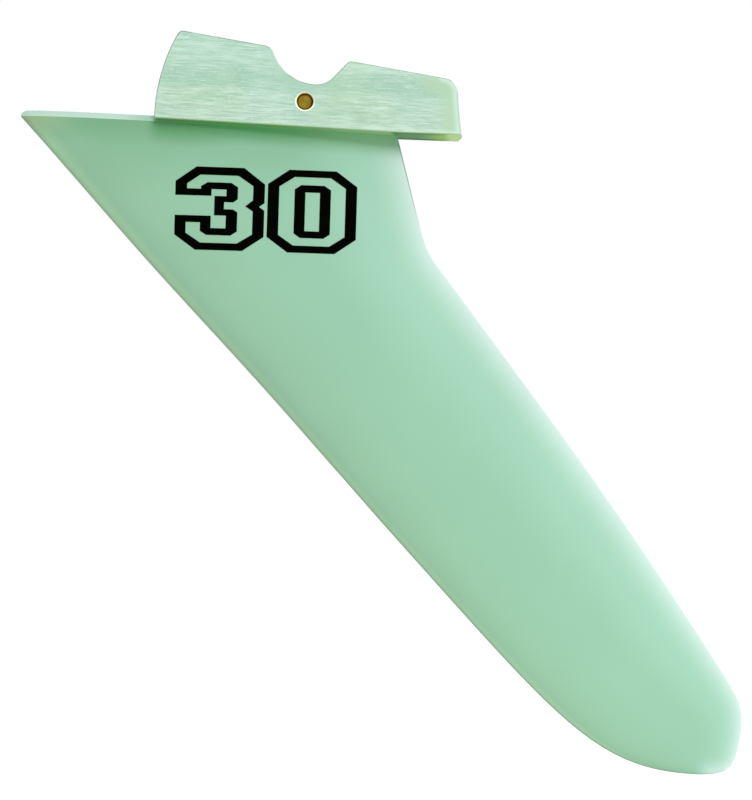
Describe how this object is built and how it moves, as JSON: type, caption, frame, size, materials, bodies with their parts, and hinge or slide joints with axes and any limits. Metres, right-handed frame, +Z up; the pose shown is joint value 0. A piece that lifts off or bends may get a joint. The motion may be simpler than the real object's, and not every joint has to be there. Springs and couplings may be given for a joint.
{
  "type": "windsurf fin",
  "caption": "Swept glass-epoxy windsurf fin with a rounded tip, a slope-topped bolted head with a deep notch, and a brass barrel nut across the head.",
  "frame": {"origin": "on the hull seat, the flat top of the blade ahead of the head, on the mid-plane and 100 mm ahead of the fixing bolt's axis", "axes": "+Z up into the board, +X aft along the board's keel line, +Y to starboard across the fin; the blade hangs down along -Z"},
  "size_m": [0.359, 0.018, 0.3398],
  "materials": {
    "glass_epoxy": "milled glass-epoxy laminate, translucent pale green, satin on the blade and sanded lengthwise on the head",
    "turned_brass": "turned brass, dull at the ends"
  },
  "bodies": {
    "root": {"fin_body": "glass_epoxy", "barrel_nut": "turned_brass"}
  },
  "joints": []
}
